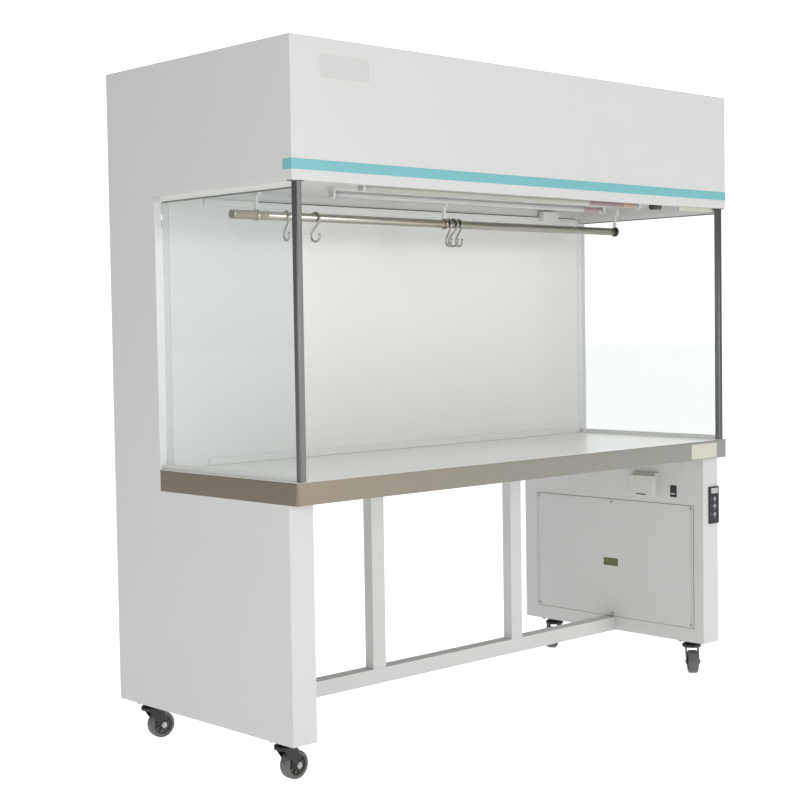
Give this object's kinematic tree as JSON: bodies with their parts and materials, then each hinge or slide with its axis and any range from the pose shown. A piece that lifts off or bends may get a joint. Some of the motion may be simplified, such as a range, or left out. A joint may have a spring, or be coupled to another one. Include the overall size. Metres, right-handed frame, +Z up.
{
  "type": "laminar flow clean bench",
  "caption": "Two-place bench: head with fans and filters over a worktop between side glasses, filtered air from the rear wall, lamps, rod with hooks, hollow pedestals on casters.",
  "frame": {"origin": "middle of the footprint, on the floor", "axes": "+X to the user's right, +Y to the rear, +Z up"},
  "size_m": [1.802, 0.809, 1.865],
  "materials": {
    "white_enamel": "baked enamel, fine orange peel",
    "teal_enamel": "semi-gloss",
    "black_enamel": "semi-gloss",
    "motor_grey": "matt",
    "zinc_coat": "zinc plated",
    "stainless": "brushed",
    "aluminium_trim": "satin anodised",
    "clear_glass": "polished",
    "lamp_glass": "frosted by its coating",
    "uv_glass": "clear quartz",
    "white_plastic": "semi-gloss",
    "grey_plastic": "satin",
    "display_window": "polished",
    "black_plastic": "satin",
    "filter_cloth": "non-woven",
    "filter_paper": "matt",
    "wheel_rubber": "matt"
  },
  "bodies": {
    "cabinet": {"left_side_panel": "white_enamel", "right_side_panel": "white_enamel", "head_fascia": "white_enamel", "accent_stripe": "teal_enamel", "top_cover": "white_enamel", "prefilter": "filter_cloth", "ceiling_tray": "white_enamel", "rear_panel": "white_enamel", "filter_wall": "white_enamel", "hepa_frames": "aluminium_trim", "hepa_media": "filter_paper", "diffuser_panel": "white_enamel", "diffuser_rails": "white_enamel", "blower_housings": "zinc_coat", "blower_motors": "motor_grey", "lamp_battens": "white_enamel", "work_lamp_tube": "lamp_glass", "uv_lamp_tube": "uv_glass", "lamp_starter": "black_plastic", "hanging_rod": "stainless", "rod_end_caps": "black_plastic", "rod_hangers": "white_plastic", "s_hooks": "stainless", "left_glass": "clear_glass", "right_glass": "clear_glass", "left_front_post": "aluminium_trim", "right_front_post": "aluminium_trim", "glass_channels": "aluminium_trim", "worktop": "stainless", "worktop_stiffeners": "stainless", "left_pedestal": "white_enamel", "right_pedestal": "white_enamel", "access_panel": "white_enamel", "access_screws": "zinc_coat", "stretcher": "white_enamel", "top_rail": "white_enamel", "uprights": "white_enamel", "control_panel": "grey_plastic", "control_display": "display_window", "switch_housing": "black_plastic", "socket_base": "white_plastic", "fan_controller": "grey_plastic", "cable_gland": "black_plastic", "caster_plates": "zinc_coat", "caster_bolts": "zinc_coat"},
    "caster_front_left_fork": {"caster_front_left_fork": "black_enamel"},
    "caster_front_left_wheel": {"caster_front_left_wheel": "wheel_rubber"},
    "caster_rear_left_fork": {"caster_rear_left_fork": "black_enamel"},
    "caster_rear_left_wheel": {"caster_rear_left_wheel": "wheel_rubber"},
    "caster_front_right_fork": {"caster_front_right_fork": "black_enamel"},
    "caster_front_right_wheel": {"caster_front_right_wheel": "wheel_rubber"},
    "caster_rear_right_fork": {"caster_rear_right_fork": "black_enamel"},
    "caster_rear_right_wheel": {"caster_rear_right_wheel": "wheel_rubber"},
    "blower_impeller_left": {"blower_impeller_left": "zinc_coat"},
    "blower_impeller_right": {"blower_impeller_right": "zinc_coat"},
    "control_button_1": {"control_button_1": "white_plastic"},
    "control_button_2": {"control_button_2": "white_plastic"},
    "control_button_3": {"control_button_3": "white_plastic"},
    "switch_rocker": {"switch_rocker": "black_plastic"},
    "socket_lid": {"socket_lid": "white_plastic"}
  },
  "joints": [
    {"name": "caster_front_left_swivel", "type": "hinge", "parent": "cabinet", "child": "caster_front_left_fork", "pos_m": [-0.86, -0.29, 0.0925], "axis": [0, 0, 1], "continuous": true},
    {"name": "caster_front_left_roll", "type": "hinge", "parent": "caster_front_left_fork", "child": "caster_front_left_wheel", "pos_m": [-0.834, -0.28955, 0.0375], "axis": [0.0175, -0.9998, 0], "continuous": true},
    {"name": "caster_rear_left_swivel", "type": "hinge", "parent": "cabinet", "child": "caster_rear_left_fork", "pos_m": [-0.86, 0.306, 0.0925], "axis": [0, 0, 1], "continuous": true},
    {"name": "caster_rear_left_roll", "type": "hinge", "parent": "caster_rear_left_fork", "child": "caster_rear_left_wheel", "pos_m": [-0.83425, 0.30238, 0.0375], "axis": [-0.1392, -0.9903, 0], "continuous": true},
    {"name": "caster_front_right_swivel", "type": "hinge", "parent": "cabinet", "child": "caster_front_right_fork", "pos_m": [0.86, -0.29, 0.0925], "axis": [0, 0, 1], "continuous": true},
    {"name": "caster_front_right_roll", "type": "hinge", "parent": "caster_front_right_fork", "child": "caster_front_right_wheel", "pos_m": [0.8413, -0.30806, 0.0375], "axis": [-0.6947, 0.7193, 0], "continuous": true},
    {"name": "caster_rear_right_swivel", "type": "hinge", "parent": "cabinet", "child": "caster_rear_right_fork", "pos_m": [0.86, 0.306, 0.0925], "axis": [0, 0, 1], "continuous": true},
    {"name": "caster_rear_right_roll", "type": "hinge", "parent": "caster_rear_right_fork", "child": "caster_rear_right_wheel", "pos_m": [0.83557, 0.29711, 0.0375], "axis": [-0.342, 0.9397, 0], "continuous": true},
    {"name": "blower_impeller_left_spin", "type": "hinge", "parent": "cabinet", "child": "blower_impeller_left", "pos_m": [-0.45, -0.02, 1.6965], "axis": [1, 0, 0], "continuous": true},
    {"name": "blower_impeller_right_spin", "type": "hinge", "parent": "cabinet", "child": "blower_impeller_right", "pos_m": [0.45, -0.02, 1.6965], "axis": [1, 0, 0], "continuous": true},
    {"name": "control_button_1_press", "type": "slide", "parent": "cabinet", "child": "control_button_1", "axis": [0, 1, 0], "range_m": [0, 0.0012], "stiffness_N_per_m": 400, "springref_m": -0.001},
    {"name": "control_button_2_press", "type": "slide", "parent": "cabinet", "child": "control_button_2", "axis": [0, 1, 0], "range_m": [0, 0.0012], "stiffness_N_per_m": 400, "springref_m": -0.001},
    {"name": "control_button_3_press", "type": "slide", "parent": "cabinet", "child": "control_button_3", "axis": [0, 1, 0], "range_m": [0, 0.0012], "stiffness_N_per_m": 400, "springref_m": -0.001},
    {"name": "switch_rock", "type": "hinge", "parent": "cabinet", "child": "switch_rocker", "pos_m": [0.82, -0.251, 0.596], "axis": [0, 1, 0], "range_deg": [0, 16]},
    {"name": "socket_lid_hinge", "type": "hinge", "parent": "cabinet", "child": "socket_lid", "pos_m": [0.8077, -0.141, 0.649], "axis": [0, 1, 0], "range_deg": [0, 110]}
  ]
}
